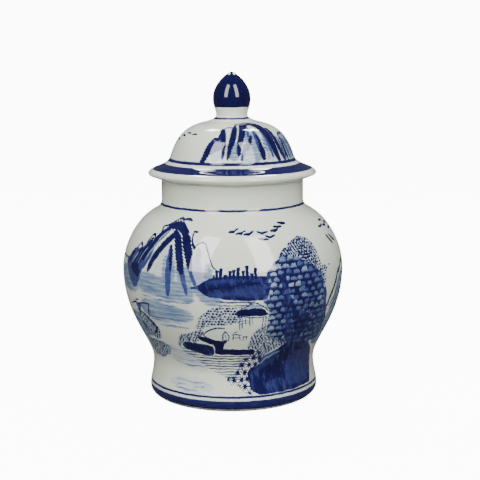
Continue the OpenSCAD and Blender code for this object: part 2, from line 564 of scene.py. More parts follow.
LAKE: Motif = {
    Mark.WASH: (
        field((-53, 89, 101), (-46, 85, 104), (-35, 84, 102), (-26, 86, 99), (-21, 89, 95)),
        line(1.3, (-50, 106), (-40, 104.5), (-25, 104.5)), line(0.8, (-48, 82.5), (-38, 80.6), (-25, 81)),
        line(0.7, (-45, 57), (-32, 55.5), (-24, 53)), line(0.7, (-43, 50), (-30, 47), (-19, 47)),
        line(0.7, (-40, 44.5), (-30, 42), (-20, 41.5)),
        line(0.9, (-43, 27), (-30, 25.6), (-17, 25.5)), line(0.7, (-41, 23.5), (-30, 22), (-20, 22.6)),
        line(0.8, (-42, 20.6), (-34, 18.6), (-23, 18)),
    ),
    Mark.FAINT: (
        field((-52, 98, 108), (-38, 98, 110), (-24, 98, 106)),
        field((-46, 48, 60), (-38, 43, 60), (-28, 39, 56), (-17, 39, 47)),
        field((-45, 20, 29), (-33, 17, 29), (-20, 18, 28), (-15, 20, 26)),
    ),
}

NEAR_HILL: Motif = {
    Mark.DEEP: (
        line(0.8, (-67, 93.5), (-61, 96), (-57, 96.4), (-52, 98), (-47.3, 99.2)),
        line(0.8, (-47.6, 99.6), (-48.8, 93), (-50, 86)), line(1.0, (-61, 96), (-59.6, 100.5)),
        line(0.8, (-60, 99), (-57, 100.4)), line(0.7, (-63, 98), (-60.6, 96.4)),
        Stroke(((-61, 90, 0.8), (-57, 89, 0.8), (-54, 86.6, 0.8), (-51, 83.4, 1.0), (-48.8, 80.6, 1.1),
            (-47, 78.6, 0.7))),
        Stroke(((-48.6, 80, 0.8), (-47, 75.6, 1.3), (-48.6, 71.4, 1.0), (-52, 68.2, 0.7))),
    ),
    Mark.LEAVES: (
        field((-60, 86, 92), (-56, 72, 89), (-52, 64, 87), (-48.6, 64, 83), (-45.6, 68, 78)),
        field((-62, 46, 60), (-55, 44, 61), (-49, 48, 60), (-44, 51, 59)),
    ),
    Mark.MID: (
        field((-60, 92, 96), (-58, 90, 96.6), (-56, 93, 96.4)), field((-60, 73, 79), (-55, 71, 79), (-51, 72, 75)),
        line(0.8, (-63, 61), (-54, 61), (-46, 60.4)), line(0.9, (-62, 57), (-52, 56.6), (-44, 58)),
        line(0.8, (-62, 53.6), (-52, 52.6), (-45, 54.8)), line(0.8, (-60, 49.6), (-52, 49.2), (-45, 50.4)),
        line(0.7, (-60, 45.6), (-54, 44.8), (-50, 47)),
    ),
    Mark.WASH: (
        field((-72, 62, 88), (-64, 62, 88), (-58, 64, 85), (-54, 66, 81), (-51, 68, 76)),
        field((-64, 44, 62), (-56, 44, 62), (-48, 49, 61), (-44, 52, 60)),
    ),
}

FAR_SHORE: Motif = {
    Mark.ROCK: (
        field((-20.5, 118.2, 119.4), (-17.6, 117.4, 120.4), (-15.6, 115.8, 123), (-13, 113, 125.6), (-10.5, 111, 128),
              (-5, 109.6, 129.6), (0, 108.6, 130), (5, 108, 130.3), (9, 108, 130), (13, 108.4, 129.4),
              (17.5, 109, 128.6)),
    ),
    Mark.DEEP: (
        line(1.2, (-13, 117.6), (-6, 119.4), (0, 121), (6, 123), (13, 123.4)), line(0.5, (-8, 107.2), (9, 106.6)),
        line(0.45, (-4, 104.4), (5, 103.4)), line(0.45, (0, 102.2), (6, 101.6)),
    ),
    Mark.GLINT: (
        field((-11, 122, 126), (-5, 123, 128), (0, 124.5, 128.5), (7, 126.4, 129), (13, 125, 128.6)),
        field((-11, 112, 115.6), (-2, 112, 117), (4, 112, 120), (9, 110.5, 121), (14, 111, 121)),
    ),
    Mark.STUBS: (field((-9, 127, 136), (-4, 127, 139), (4, 127, 139), (12.4, 127, 136)),),
    Mark.WASH: (field((-18, 113, 119), (-14, 106, 117), (-10, 104, 113), (-6, 105, 110)),),
    Mark.RIPPLES: (field((-6, 103, 108), (0, 102, 108.5), (10, 104, 108.5)),),
}

PAVILION: Motif = {
    Mark.DEEP: (
        field((1.8, 96, 97.4), (4, 94.4, 100.2), (9, 93.8, 101), (14, 93.8, 101), (17.6, 94.4, 96.8)),
        line(0.5, (4, 100.6), (7, 103.2), (10.4, 105.8)), line(0.55, (8, 105.8), (12.4, 105.6)),
        line(0.5, (11.4, 105.8), (14.6, 103), (18, 98.6)), line(0.4, (2.2, 95), (9, 92.4), (17.6, 92.2)),
        line(0.5, (3.4, 94.6), (3.6, 81)), line(0.45, (4.8, 94), (4.9, 83)), line(0.45, (6.4, 92), (6.5, 86)),
        line(0.6, (8.6, 93), (8.8, 84.6)), line(0.5, (9.9, 92.6), (10, 86)), line(0.6, (15.6, 92.6), (15.6, 84)),
        line(0.5, (17, 93), (17, 81)), line(0.4, (3.6, 89.4), (8.8, 90)), line(0.4, (3.6, 87), (8.8, 88)),
    ),
    Mark.WASH: (field((5, 101, 102.4), (8, 101, 104.4), (12, 101, 104.8), (15, 101, 102.6)),),
}

TERRACE: Motif = {
    Mark.DEEP: (
        line(0.6, (-16, 75), (-14, 78.4), (-11, 81), (-7.6, 82.6), (-4, 83)),
        line(0.6, (-16.2, 76), (-15, 73.4), (-11.6, 71)),
        Stroke(((-19, 72, 1.2), (-16.4, 70.6, 2.4), (-12, 68.8, 2.4), (-7, 68.4, 1.6), (-3.4, 69, 0.8))),
        field((57, -10.4, -6.2), (61, -10.2, -5.8), (65, -10.6, -5.2), (69, -14, -4.4), upright=True),
        field((-10.2, 56, 61.4), (-4, 55.6, 61.2), (4, 55.2, 60.8), (12.4, 55.4, 60.6)),
        line(0.5, (-5.6, 71), (-5.2, 75.6), (-4, 79.8)), line(0.5, (-4.4, 79.6), (-3, 78.2), (-2.2, 76)),
        line(0.6, (-2.4, 76.6), (-1.8, 73.6), (-2.6, 70.6)), line(0.5, (-4, 77), (-3.6, 72)),
        line(0.5, (-5.8, 70.6), (-2, 70)),
        line(0.6, (-0.4, 76.4), (4.4, 76)), line(0.5, (0.4, 76), (0.2, 70.6)), line(0.5, (3.7, 76), (3.9, 71)),
        line(0.5, (0.4, 73), (3.8, 73.4)), line(0.9, (5.6, 73.8), (7.8, 74)), line(0.5, (5.8, 73.4), (5.9, 70.8)),
        line(0.5, (7.6, 73.6), (7.5, 71)), line(0.7, (0.8, 78), (2.4, 79.2)),
    ),
    Mark.ROCK: (field((-30, 60.5, 65), (-27, 58.4, 67), (-22, 56.4, 66.6), (-17, 54.6, 65.6), (-12, 55, 64)),),
    Mark.RIPPLES: (
        field((-31, 55, 60), (-25, 50, 57), (-20, 44.6, 55.6), (-15, 39.6, 55.6), (-9, 35.6, 55.4), (-4, 32, 55.2),
              (0, 29, 55), (4, 32, 55), (8, 45, 55), (10.5, 51, 55)),
    ),
    Mark.DOTS: (
        field((-18.6, 80, 86), (-16.6, 81, 93), (-13, 83.6, 98), (-9, 84.6, 102.4), (-4, 85.6, 103), (0, 87, 102),
            (3, 88, 99)),
    ),
    Mark.LEAVES: (
        field((9, 60, 66), (11.6, 52, 78), (15, 50, 83), (19, 52, 84), (24, 58, 80), (28, 61, 74), (31, 62, 68)),
        field((-32.5, 59, 66), (-30, 66, 73), (-26, 66.6, 74.6), (-22, 66.6, 77), (-19, 70, 79.4), (-16.4, 76, 80)),
    ),
    Mark.STARS: (
        field((-3, 27, 33), (2, 25, 38), (5, 24, 48), (9, 20, 52), (13, 40, 58), (17, 45, 58)),
        field((5, 22, 30), (9, 18, 27), (13, 17, 23)),
    ),
}

CLIFF_AND_PINE: Motif = {
    Mark.ROCK: (
        field((10.2, 33, 38), (11.4, 24, 41), (14, 19, 42.6), (17, 16.6, 44), (21, 16, 48), (26, 16, 52),
              (31, 16, 56), (36, 16, 60), (44, 16, 62), (52, 16.4, 59), (58, 16.8, 54), (64, 17.6, 46),
              (67.6, 24, 38)),
        field((56, 28, 44), (62, 31, 41), (72, 29.6, 36), (90, 27.6, 31.6), (112, 25, 29), (130, 24.6, 27),
              upright=True),
        Stroke(((27.5, 113, 1.4), (33, 95, 3.0), (37, 82, 4.0), (39, 64, 5))),
        field((35, 78, 96), (39, 72, 94), (44, 72, 90)),
    ),
    Mark.GLINT: (
        field((40, 22, 50), (48, 20, 54), (58, 20, 50), (64, 22, 42)),
        Stroke(((28.4, 118, 0.6), (29.2, 95, 1.2), (31.4, 76, 1.6), (34, 60, 1.2))),
        field((17, 38, 43.6), (22, 42, 47.6), (27, 46, 50)),
    ),
    Mark.MID: (
        field((17.6, 44.6, 50), (22, 48, 54.4), (27, 52, 58.6), (33, 56, 62)),
        field((62, 46, 62), (72, 47, 62), (84, 48, 60), (96, 48, 57), (110, 48, 55), upright=True),
    ),
    Mark.UMBRELLAS: (
        field((58, 44, 52), (62, 42, 58), (66, 31, 60), (72, 22, 60), (80, 19.5, 59), (88, 18.4, 57), (98, 18.4, 55),
              (104, 15.6, 54), (112, 14.4, 53), (122, 15, 52), (130, 16.4, 48), (136, 19, 42), (142, 23, 36),
              upright=True),
    ),
    Mark.LEAVES: (
        field((128, 28, 45), (136, 25, 48), (144, 25, 48), (151, 29, 46), (156, 35, 43.6), upright=True),
        field((72, 50, 60), (84, 50, 58), (94, 50, 57), upright=True),
    ),
    Mark.DOTS: (
        field((96, 53, 56.5), (105, 52, 55), (118, 50.6, 54), (127, 47, 55), (131, 28, 54.6), (138, 24, 50.4),
              (144, 24.4, 50), (150, 28, 48.4), (154, 31.5, 47.4), (158, 37, 43.6), upright=True),
        field((74, 54, 61), (84, 52, 60), (94, 52, 58), upright=True),
    ),
    Mark.BARE: (
        Stroke(((18.4, 45.6, 0.4), (20, 48.6, 0.8), (24, 52.4, 0.8), (30, 56.6, 0.4))),
    ),
}

RIGHT_HILLS: Motif = {
    Mark.FEATHERED: (
        Stroke(((57.4, 88, 0.8), (59, 95, 1.0), (61.4, 103, 1.4), (64, 109.5, 1.5), (66.4, 116, 1.6),
            (67.8, 121.5, 1.2))),
        Stroke(((67.6, 121.4, 1.1), (71, 123.4, 1.5), (74, 127.4, 1.2), (79, 130.6, 0.8))),
        Stroke(((56.4, 90, 0.7), (58.4, 84.4, 1.4), (61, 80, 0.8))),
    ),
    Mark.DEEP: (
        Stroke(((65.6, 154.6, 1.4), (68, 151, 1.6), (70.4, 147, 1.0))),
        Stroke(((69.6, 155, 0.6), (72.6, 151.5, 1.6), (75.4, 148.6, 1.0))),
        line(0.8, (57.2, 131.2), (58.8, 131)),
        bird(66.4, 163.2, 3.4, -0.4, 0.8), bird(72.6, 167, 3.2, 0.2, 0.3), bird(73, 162.4, 3.0, 0.4, 0.2),
        bird(79, 164, 3),
        bird(79, 159, 3),
    ),
    Mark.MID: (line(1.2, (62, 92), (66, 100), (70, 108)), line(1.2, (64, 88), (69, 97), (74, 105)),
               line(1.0, (68, 110), (72, 117), (77, 121))),
    Mark.WASH: (field((58, 58, 72), (66, 60, 76), (80, 62, 80), (94, 64, 82), (108, 67, 84), (118, 71, 84),
        upright=True),),
}

FLOCK: Motif = {
    Mark.DEEP: (
        bird(1, 165.8, 3, -0.6, 2.6), bird(5.2, 164.4, 3, -0.6, 2.2), bird(9.8, 164, 3.1, -0.6, 1.9),
        bird(17.8, 164.2, 3.2, 1.2, 0.6), bird(17.8, 159, 3, 1.1, 0.4), bird(22.2, 161, 3, 0.9, 1.1),
        bird(25.6, 165.6, 2.8, -0.3, 0.9), bird(28.8, 168.2, 2.9, -0.3, 0.3), bird(33, 170.8, 2.8, 0.5, -0.3),
    ),
}

FRONT = (MAIN_PEAK, LAKE, NEAR_HILL, FAR_SHORE, PAVILION, TERRACE, CLIFF_AND_PINE, RIGHT_HILLS, FLOCK)
BACK = (
    moved(MAIN_PEAK, -10, -3, flip=True, grow=0.92), moved(FAR_SHORE, -24, -2, grow=1.1),
    moved(LAKE, -14, -6, flip=True),
    moved(TERRACE, 18, -2), moved(FLOCK, -40, -2, flip=True, grow=0.9),
)


class Landscape:
    """Turns motifs on the front and the back of a piece into one density of cobalt."""

    FAINT_INK = 0.17
    WASH_INK = 0.34
    LILAC_INK = 0.26
    GLINT_INK = 0.70
    BARE_INK = 0.3

    def __init__(self, graph: Graph, faces: Sequence[tuple[Canvas, Sequence[Motif]]]) -> None:
        """Keeps the finish and, for each painted face, its canvas and motifs."""
        self.graph = graph
        self.faces = faces
        self.front = faces[0][0]

    def depth(self, mark: Mark, reach: float = 1.0) -> Val | None:
        """The depth inside all strokes of one kind, right as far as reach outside, or None if there are none."""
        depth: Val | None = None
        for canvas, motifs in self.faces:
            strokes = [stroke for motif in motifs for stroke in motif.get(mark, ())]
            for start in range(0, len(strokes), 12):
                found = canvas.union(strokes[start:start + 12], reach)
                depth = found if depth is None else depth | found
        return depth

    def mask(self, mark: Mark, soft: float, rough: float, trail: Num = 0.0) -> Val | float:
        """A mask of all strokes of one kind.

        Args:
            mark: the kind.
            soft: how far the edge fades, in mm to either side.
            rough: how far the grain pushes the edge, in mm.
            trail: what else pushes the edge, in mm.

        Returns:
            The mask, or 0 if there are no such strokes.
        """
        depth = self.depth(mark, soft + rough + (0.0 if isinstance(trail, float) else 2.6))
        return 0.0 if depth is None else (depth + self.front.grain * rough + trail).edge(soft)

    def density(self, where: Val) -> tuple[Val, Val]:
        """Lays the marks over each other, the pale ones first.

        Args:
            where: the point in mm, as a vector, for the noises.

        Returns:
            The density of cobalt, from 0 for bare glaze to 1, and how lilac the wash is.
        """
        graph, front = self.graph, self.front
        flat = graph.vector(front.across * (front.steps / 22.0), front.up / 1.7)
        streak = graph.noise(flat, 1.0, 2.0, 0.6)
        trail = (streak - 0.5) * 6.0
        tone = graph.noise(where, 0.14, 2.0)
        faint = self.mask(Mark.FAINT, 3.0, 3.0, trail) * (streak * 1.9 - 0.4)
        wash = self.mask(Mark.WASH, 2.0, 1.6, trail) * (streak * 1.9 + 0.1)
        lilac = self.mask(Mark.LILAC, 1.8, 1.5)
        ink = (faint * self.FAINT_INK) | (wash * self.WASH_INK) | (lilac * self.LILAC_INK)
        ink = ink | self.mask(Mark.MID, 1.1, 1.6) * (0.48 + tone * 0.2 + streak * 0.14)
        ink = ink | self.feathered() * (0.78 + tone * 0.3)
        ink = ink | self.rock(tone)
        ink = graph.towards(ink, self.GLINT_INK, self.mask(Mark.GLINT, 2.0, 3.0) * (streak * 0.9 + 0.2))
        ink = ink | self.stubs()
        ink = self.scrub(ink)
        ink = ink | self.mask(Mark.DEEP, 0.3, 0.7) * (0.82 + tone * 0.24)
        ink = ink | self.ripples(streak)
        ink = ink | self.stars()
        ink = self.dots(ink)
        ink = self.umbrellas(ink)
        ink = graph.towards(ink, self.BARE_INK, self.mask(Mark.BARE, 0.6, 1.2) * 0.9)
        return ink & 1.0, lilac

    def feathered(self) -> Val:
        """Dark strokes with short hatching along both edges."""
        front = self.front
        depth = self.depth(Mark.FEATHERED, 2.4)
        if depth is None:
            return front.grain * 0.0
        hatch = abs((front.up * 0.45 + front.across * (front.steps * 0.25)).fract() - 0.5) * 3.2 - 0.4
        return (depth + hatch + front.grain * 1.0).edge(0.4)

    def rock(self, tone: Val) -> Val | float:
        """Rock faces: a dark fill with lighter upright streaks."""
        front, mask = self.front, self.mask(Mark.ROCK, 0.6, 1.3)
        if isinstance(mask, float):
            return mask
        slant = self.graph.vector(front.across * (front.steps / 5.5) + front.up * 0.05, front.up / 15.0)
        streak = self.graph.ramped(self.graph.noise(slant, 1.0, 3.0, 0.6), 0.46, 0.66)
        return mask * (0.89 + tone * 0.08 - streak * 0.24)

    def stubs(self) -> Val | float:
        """A row of small trees that stand up from the far shore."""
        region = self.depth(Mark.STUBS)
        if region is None:
            return 0.0
        front = self.front
        column = front.across * (front.steps / 3.7)
        first, second, _ = self.graph.chances(column.floor(), front.grain * 0.0)
        side = abs((column.fract() - 0.5) * 3.7 + (first - 0.5) * 1.0)
        top = (second * 8.5 + 130.5) - front.up
        crown = self.graph.ramped(top, 3.0, 0.4) * 0.5
        return ((crown + (first * 0.5 + 0.95) - side + front.grain * 0.8) & region & top).edge(0.3) * 0.93

    def scrub(self, ink: Val) -> Val:
        """Leafy scrub: short crossed dabs on a pale ground."""
        region = self.mask(Mark.LEAVES, 0.8, 2.2)
        if isinstance(region, float):
            return ink
        x, y, first, second = self.front.cells(3.2, 2.8, 0.3)
        leaf = (0.85 - abs(x + y * (first * 2.8 - 1.4)) + self.front.grain) & (1.5 - abs(y))
        return self.graph.towards(ink, leaf.edge(0.3) * 0.8 + (0.09 + second * 0.12), region)

    def ripples(self, streak: Val) -> Val | float:
        """Fine level lines on the water."""
        region = self.mask(Mark.RIPPLES, 0.8, 3.0)
        if isinstance(region, float):
            return region
        front = self.front
        away = abs(((front.up + streak * 1.2) / 2.65).fract() - 0.5) * 2.65
        return region * (0.62 - away - streak * 0.35).edge(0.25) * 0.86

    def stars(self) -> Val | float:
        """Spiky plants, each a burst of narrow leaves."""
        region = self.mask(Mark.STARS, 0.8, 2.0)
        if isinstance(region, float):
            return region
        x, y, first, _ = self.front.cells(8.0, 6.8, 0.18)
        reach = self.graph.math("SQRT", x * x + y * y)
        turn = self.graph.math("ARCTAN2", y, x) * (8.0 / math.tau) + first
        away = abs(turn.fract() - 0.5) * (math.tau / 8.0) * reach
        leaf = (0.85 - reach * 0.12 - away) & (4.8 - reach)
        return region * (leaf + self.front.grain * 0.3).edge(0.24) * 0.93

    def dots(self, ink: Val) -> Val:
        """Foliage of dark dots over a faint ground."""
        region = self.mask(Mark.DOTS, 0.6, 3.0)
        if isinstance(region, float):
            return ink
        x, y, first, second = self.front.cells(2.9, 2.5, 0.34)
        dot = (first * 0.5 + 0.78) - self.graph.math("SQRT", x * x + y * y * 1.2) + self.front.grain * 0.8
        return ink | (region * (dot.edge(0.26) * 0.84 + (second * 0.1 + 0.06)))

    def umbrellas(self, ink: Val) -> Val:
        """Pine foliage: pale fans with dark rays, in staggered rows on a dark ground."""
        region = self.mask(Mark.UMBRELLAS, 0.7, 5.0)
        if isinstance(region, float):
            return ink
        graph, front = self.graph, self.front
        x, y, first, second = front.cells(7.6, 5.6, 0.4)
        x, y = x + front.grain * 3.0, y + front.grain * 2.0
        fan = ((first * 0.6 + 0.8) - (x * x * 0.1 + (y + 1.6) * (y + 1.6) * 0.1)) * 3.0
        rays = (graph.math("ARCTAN2", x, y + 4.6) * 17.0).sine() * 0.5 + 0.5
        pale = (fan & (y + 1.5 + rays * 1.9)).edge(0.5)
        ground = graph.along(front.across, ((13.0, 0.7), (18.0, 0.8), (24.0, 0.92), (46.0, 0.88), (60.0, 0.72)))
        leaf = graph.along(front.across, ((13.0, 0.08), (20.0, 0.16), (27.0, 0.28), (40.0, 0.36), (60.0, 0.40)))
        shade = leaf + rays * rays * 0.24 + (second - 0.4) * 0.26
        foliage = graph.towards(ground, shade, pale * (first * 0.3 + 0.7))
        trunk = graph.ramped(self.depth(Mark.ROCK, 1.0), -0.5, 0.8)
        return graph.towards(ink, foliage, region * (1.0 - trunk * (0.9 - second * 0.5)))


# ---------------------------------------------------------------- the lid's painting

LID_RANGE: Motif = {
    Mark.FEATHERED: (
        Stroke(((-20.6, 32, 2.0), (-23.2, 40, 3.2), (-27.2, 50.5, 3.0))),
        Stroke(((-11.4, 16, 1.2), (-10, 21, 2.3), (-9, 27, 2.6), (-8, 34, 1.8), (-7.6, 43, 0.8))),
        Stroke(((4.6, 12, 1.6), (2.8, 21, 2.6), (0.6, 30, 2.9), (-1.8, 38, 2.3), (-3.6, 47, 1.0))),
        Stroke(((27, 1.5, 2.0), (20, 7, 3.0), (15.5, 14, 3.0), (11.4, 24, 2.8), (8.4, 33, 2.4), (6.4, 43, 1.6))),
        Stroke(((28, 3, 1.6), (34, 5, 2.8), (40.5, 10, 3.8), (43.4, 18, 4.4), (44.6, 30, 4.2), (45.6, 40, 3.8),
            (47.6, 49.5, 2.6))),
        Stroke(((52.4, 16, 1.4), (52, 30, 2.4), (53.4, 42, 2.8), (56, 50, 2.0))),
        Stroke(((21.6, 25, 1.0), (18.6, 31, 1.8), (15.6, 38, 1.4))),
        Stroke(((62.5, 29, 1.0), (60.8, 40, 2.0), (62.5, 51, 1.6))),
        Stroke(((28.6, 24, 1.0), (29.8, 34, 1.8), (30.2, 41, 3.0), (30.4, 47.5, 2.4))),
    ),
    Mark.DEEP: (
        line(1.0, (-9.5, 15), (-5, 12.6), (1, 12.6), (3.6, 13.4)), line(1.1, (8, 3.4), (6, 9), (4.4, 18)),
        line(1.4, (-21, 30), (-18, 28), (-14.6, 28.6), (-11, 24)), line(1.2, (-22, 34), (-19.5, 31)),
        line(1.0, (-14, 27), (-12, 21), (-9.6, 16)), line(0.9, (2, 12.6), (8, 7), (16, 3)),
        Stroke(((22, 9.5, 0.8), (28, 7.5, 1.1), (35, 7.5, 1.1), (42, 10, 1.0))),
        line(0.9, (59.6, 31), (63, 26.2), (68, 24), (74, 25)), line(0.9, (58, 50), (60, 42)),
        line(0.7, (33, 29), (36.4, 31)), line(0.7, (33.4, 33), (36.8, 35)), line(0.7, (33.4, 37), (36.6, 39)),
        line(0.8, (66, 32), (68, 44)), line(0.8, (71, 30), (74, 46)),
        bird(-48, 23.6, 4.6, 0.4, 0.4), bird(-60, 22.6, 4.6, 0.3, 0.4), bird(-68, 26, 4.4), bird(-77, 30, 4),
    ),
    Mark.MID: (
        field((-20, 29, 38), (-16, 29, 41), (-11, 25, 39), (-7, 30, 38)), field((-20, 36, 44), (-17, 36, 42)),
        Stroke(((15, 32, 1.4), (12, 40, 2.2), (9.4, 47.5, 1.8))), Stroke(((27.6, 18, 1.6), (27, 28, 2.6),
            (27.6, 40, 1.8))),
        Stroke(((38, 18, 1.4), (39, 32, 2.2), (41, 46, 1.6))), Stroke(((57, 28, 0.8), (57, 40, 1.6),
            (58.5, 49, 1.2))),
        Stroke(((66, 30, 1.0), (66, 40, 2.2), (67, 49, 1.6))), Stroke(((-9, 36, 1.2), (-8, 42, 1.8),
            (-8.6, 47, 0.8))),
        Stroke(((22, 14, 1.2), (20, 20, 1.6), (18, 26, 1.0))),
    ),
    Mark.LILAC: (
        field((35, -17, -10), (42, -18, -11), (49, -17.5, -13), upright=True),
        field((20, 23, 27), (28, 22, 26), upright=True),
    ),
    Mark.WASH: (
        field((22, 18, 27), (30, 17, 27), (38, 14, 26), (47, 12, 25), upright=True),
        Stroke(((36, 22, 1.6), (36, 34, 2.6), (36.6, 46, 1.8))), field((34, -1, 5), (44, -2, 6), upright=True),
        field((26, 66, 74), (40, 65, 76), (48, 66, 72), upright=True),
    ),
    Mark.FAINT: (field((20, 22, 38), (36, 24, 40), (48, 26, 40), upright=True),),
}


# ---------------------------------------------------------------- finishes


@dataclass(frozen=True)
class Glaze:
    """Clear gloss glaze over white porcelain, and the cobalt under it, as linear colours."""

    white: tuple[float, float, float] = (0.75, 0.80, 0.69)
    faint: tuple[float, float, float] = (0.40, 0.48, 0.56)
    pale: tuple[float, float, float] = (0.125, 0.195, 0.33)
    half: tuple[float, float, float] = (0.036, 0.050, 0.185)
    navy: tuple[float, float, float] = (0.0075, 0.0075, 0.070)
    night: tuple[float, float, float] = (0.0025, 0.0025, 0.036)
    lilac: tuple[float, float, float] = (0.43, 0.38, 0.66)
    biscuit: tuple[float, float, float] = (0.70, 0.68, 0.60)
    iron: tuple[float, float, float] = (0.10, 0.055, 0.03)
    gloss: float = 0.45
    matt: float = 0.72

    def colour(self, graph: Graph, ink: Val, lilac: Num, bare: Num, tone: Val) -> Val:
        """The colour under the glaze.

        Args:
            graph: the finish.
            ink: density of cobalt, 0 to 1.
            lilac: where a wash turns lilac, 0 to 1.
            bare: where there is no glaze, 0 to 1.
            tone: slow noise of 0 to 1.

        Returns:
            The colour.
        """
        stops = ((0.0, self.white), (0.2, self.faint), (0.44, self.pale), (0.66, self.half), (0.88, self.navy),
            (1.0, self.night))
        ramp = graph.node("ValToRGB", {"stops": stops}, {0: ink})
        clear = 1.0 - (ink * 6.0 & 1.0)
        warm = graph.blend(clear * ((tone - 0.4) & 0.15), graph.out(ramp, 0), (0.78, 0.77, 0.64, 1.0))
        tinted = graph.blend(lilac * (0.55 - (ink & 0.55)), warm, (*self.lilac, 1.0))
        return graph.blend(bare, tinted, (*self.biscuit, 1.0))

    def coat(self, graph: Graph, colour: Val, bare: Num, where: Val) -> None:
        """Puts the clear glaze over a colour and closes the material.

        Args:
            graph: the finish.
            colour: the colour under the glaze.
            bare: where there is no glaze, 0 to 1.
            where: the point in mm, for the unevenness of the glaze.
        """
        pits = graph.noise(where, 0.75, 2.0)
        pool = graph.noise(where, 0.045, 1.0)
        height = pool * 0.42 + pits * (0.006 + bare * 0.05)
        bump = graph.node("Bump", {}, {"Strength": 0.35, "Distance": 0.001, "Height": height})
        shader = graph.node("BsdfPrincipled", {}, {
            "Base Color": colour,
            "Roughness": self.gloss + pits * 0.05 + bare * (self.matt - self.gloss),
            "IOR": 1.5,
            "Specular IOR Level": 0.0,
            "Coat Weight": 1.0 - bare,
            "Coat Roughness": 0.03,
            "Coat IOR": 1.65,
            "Normal": graph.out(bump),
        })
        graph.node("OutputMaterial", {}, {0: graph.out(shader)})


GLAZE = Glaze()


@dataclass(frozen=True)
class Place:
    """Where a shaded point lies on the turned form, as numbers in the shader."""

    where: Val
    radius: Val
    height: Val
    front: Val
    back: Val
    grain: Val
    tone: Val

    @staticmethod
    def read(graph: Graph, sway: float = 0.8) -> "Place":
        """Reads the object's own coordinates.

        Args:
            graph: the finish.
            sway: how far the brush wanders from its line, in mm.

        Returns:
            The place, in mm and degrees.
        """
        coordinates = graph.out(graph.node("TexCoord", {}, {}), "Object")
        scaled = graph.node("VectorMath", {"operation": "SCALE"}, {0: coordinates, "Scale": 1 / MM})
        where = graph.out(scaled, 0)
        split = graph.node("SeparateXYZ", {}, {0: where})
        x, y, z = graph.out(split, 0), graph.out(split, 1), graph.out(split, 2)
        radius = graph.math("SQRT", x * x + y * y)
        slow_a, slow_b, _ = graph.noises(where, 0.16, 1.0)
        fine_a, fine_b, fine_c = graph.noises(where, 0.95, 1.0)
        shift_a = (slow_a - 0.5) * (2.4 * sway) + (fine_a - 0.5) * (1.2 * sway)
        shift_h = (slow_b - 0.5) * (2.4 * sway) + (fine_b - 0.5) * (1.2 * sway)
        turn = 180.0 / math.pi
        front = graph.math("ARCTAN2", x, -y) * turn + shift_a / Canvas.MM_PER_DEG
        back = graph.math("ARCTAN2", -x, y) * turn + shift_a / Canvas.MM_PER_DEG
        tone = graph.noise(where, 0.03, 2.0)
        return Place(where, radius, z, front, back, fine_c - 0.5, tone).swayed(shift_h)

    def swayed(self, shift: Val) -> "Place":
        """The same place with its height moved by the brush's sway."""
        return replace(self, height=self.height + shift)


# ---------------------------------------------------------------- turned forms


class Lathe:
    """Turns an outline into a closed smooth mesh, with the mesh tools of an artist."""

    STEPS = 144

    @staticmethod
    def curve(a: Point, b: Point, c: Point, d: Point, count: int = 18) -> list[Point]:
        """Points of a cubic curve from a to d with handles b and c."""
        points = []
        for index in range(count + 1):
            t = index / count
            s = 1 - t
            points.append(tuple(s ** 3 * a[k] + 3 * s * s * t * b[k] + 3 * s * t * t * c[k] + t ** 3 * d[k]
                                for k in (0, 1)))
        return points

    @staticmethod
    def arc(centre: Point, radius: float, start: float, end: float, count: int = 8) -> list[Point]:
        """Points of an arc about centre, from the angle start to end, in degrees."""
        angles = (math.radians(start + (end - start) * index / count) for index in range(count + 1))
        return [(centre[0] + radius * math.cos(a), centre[1] + radius * math.sin(a)) for a in angles]

    @staticmethod
    def beside(points: Sequence[Point], away: float) -> list[Point]:
        """A path moved sideways by away, to the left of the way it runs."""
        moved_points = []
        for index, point in enumerate(points):
            before, after = points[max(index - 1, 0)], points[min(index + 1, len(points) - 1)]
            run = (after[0] - before[0], after[1] - before[1])
            size = math.hypot(*run)
            moved_points.append((point[0] - away * run[1] / size, point[1] + away * run[0] / size))
        return moved_points

    @classmethod
    def turn(cls, name: str, outline: Sequence[Point]) -> Any:
        """Extrudes a single vertex along the outline and spins the line round the axis.

        Args:
            name: the new piece's name.
            outline: points of (radius, height) in mm, all the way round the section.

        Returns:
            The mesh object, at the origin and with its normals outwards.
        """
        path = [outline[0]]
        for point in outline[1:]:
            if math.dist(point, path[-1]) > 0.02:
                path.append(point)
        if path[0][0] > 0.001:
            path.append(path[0])
        bpy.ops.object.select_all(action="DESELECT")
        bpy.ops.mesh.primitive_plane_add(size=0.01, location=(0, 0, 0))
        piece = bpy.context.active_object
        piece.name = piece.data.name = name
        bpy.ops.object.mode_set(mode="EDIT")
        bpy.ops.mesh.select_mode(type="VERT")
        bpy.ops.mesh.merge(type="CENTER")
        bpy.ops.transform.translate(value=(path[0][0] * MM, 0, path[0][1] * MM))
        for before, after in zip(path, path[1:]):
            step = ((after[0] - before[0]) * MM, 0, (after[1] - before[1]) * MM)
            bpy.ops.mesh.extrude_region_move(TRANSFORM_OT_translate={"value": step})
        bpy.ops.mesh.select_all(action="SELECT")
        bpy.ops.mesh.spin(steps=cls.STEPS, angle=math.tau, center=(0, 0, 0), axis=(0, 0, 1))
        bpy.ops.mesh.select_all(action="SELECT")
        bpy.ops.mesh.remove_doubles(threshold=0.000004)
        bpy.ops.mesh.delete_loose()
        bpy.ops.mesh.select_all(action="SELECT")
        bpy.ops.mesh.normals_make_consistent(inside=False)
        bpy.ops.object.mode_set(mode="OBJECT")
        bpy.ops.object.shade_smooth_by_angle(angle=math.radians(38))
        return piece


